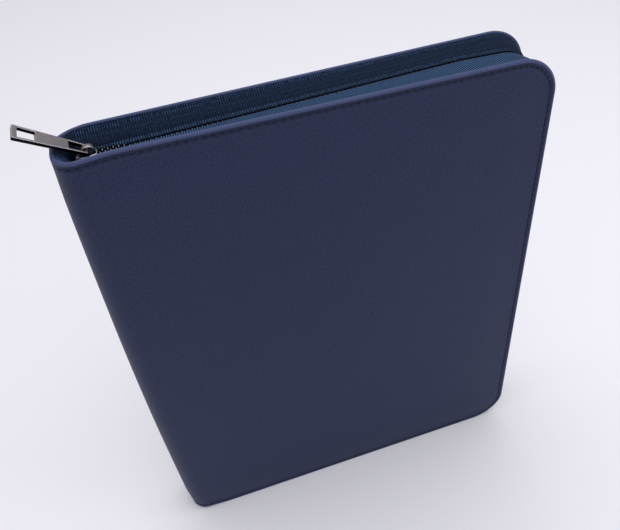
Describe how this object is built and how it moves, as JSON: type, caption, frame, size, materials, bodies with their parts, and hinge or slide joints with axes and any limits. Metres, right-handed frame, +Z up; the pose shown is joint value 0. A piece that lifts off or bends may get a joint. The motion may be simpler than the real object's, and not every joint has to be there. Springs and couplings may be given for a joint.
{
  "type": "portfolio case",
  "caption": "Zip-around portfolio case with two padded covers, a rounded soft spine, a recessed zip gusset on three sides, a slider with a flat slotted pull, and pockets inside.",
  "frame": {"origin": "on the floor under the middle of the whole case with its zip pull, the case standing on its bottom edge", "axes": "+X from the spine to the zip side, -Y the front cover's side, +Z up"},
  "size_m": [0.2808, 0.04, 0.3529],
  "materials": {
    "leather": "navy synthetic leather, very fine grain, low sheen",
    "edge_leather": "the same leather turned over the edge, a little lighter and shinier",
    "foam": "thin padding foam, not seen",
    "board": "grey board, not seen",
    "lining": "dark woven polyester lining",
    "elastic": "dark ribbed elastic",
    "zip_tape": "blue woven zip tape with a fine rib",
    "zip_teeth": "gunmetal-coated nylon coil",
    "stop_metal": "gunmetal",
    "slider_metal": "gunmetal plating, satin faces and bright worn edges"
  },
  "bodies": {
    "back_cover": {"back_skin": "leather", "back_padding": "foam", "back_board": "board", "back_lining": "lining", "back_edge_binding": "edge_leather", "back_zip_tape": "zip_tape", "back_zip_teeth": "zip_teeth", "back_top_stop": "stop_metal", "back_bottom_stop": "stop_metal", "notepad_sleeve": "lining", "pen_loop": "elastic"},
    "spine": {"spine_skin": "leather", "spine_board": "board", "spine_lining": "lining", "spine_top_binding": "edge_leather", "spine_bottom_binding": "edge_leather", "gusset_top_end": "zip_tape", "gusset_bottom_end": "zip_tape"},
    "front_cover": {"front_skin": "leather", "front_padding": "foam", "front_board": "board", "front_lining": "lining", "front_edge_binding": "edge_leather", "front_zip_tape": "zip_tape", "front_zip_teeth": "zip_teeth", "front_top_stop": "stop_metal", "front_bottom_stop": "stop_metal", "document_pocket": "lining", "card_pocket_1": "lining", "card_pocket_2": "lining", "card_pocket_3": "lining"},
    "slider": {"slider_body": "slider_metal", "slider_crown": "slider_metal"},
    "pull": {"zip_pull": "slider_metal"}
  },
  "joints": [
    {"name": "back_fold", "type": "hinge", "parent": "back_cover", "child": "spine", "pos_m": [-0.12698, 0.0131, 0.17], "axis": [0, 0, -1], "range_deg": [0, 90]},
    {"name": "front_fold", "type": "hinge", "parent": "spine", "child": "front_cover", "pos_m": [-0.12698, -0.0131, 0.17], "axis": [0, 0, -1], "range_deg": [0, 90]},
    {"name": "slider_travel", "type": "slide", "parent": "back_cover", "child": "slider", "axis": [0.9996, 0, 0.0275], "range_m": [0, 0.2]},
    {"name": "pull_swing", "type": "hinge", "parent": "slider", "child": "pull", "pos_m": [-0.11158, 0, 0.33395], "axis": [0, 1, 0], "range_deg": [0, 140]}
  ]
}
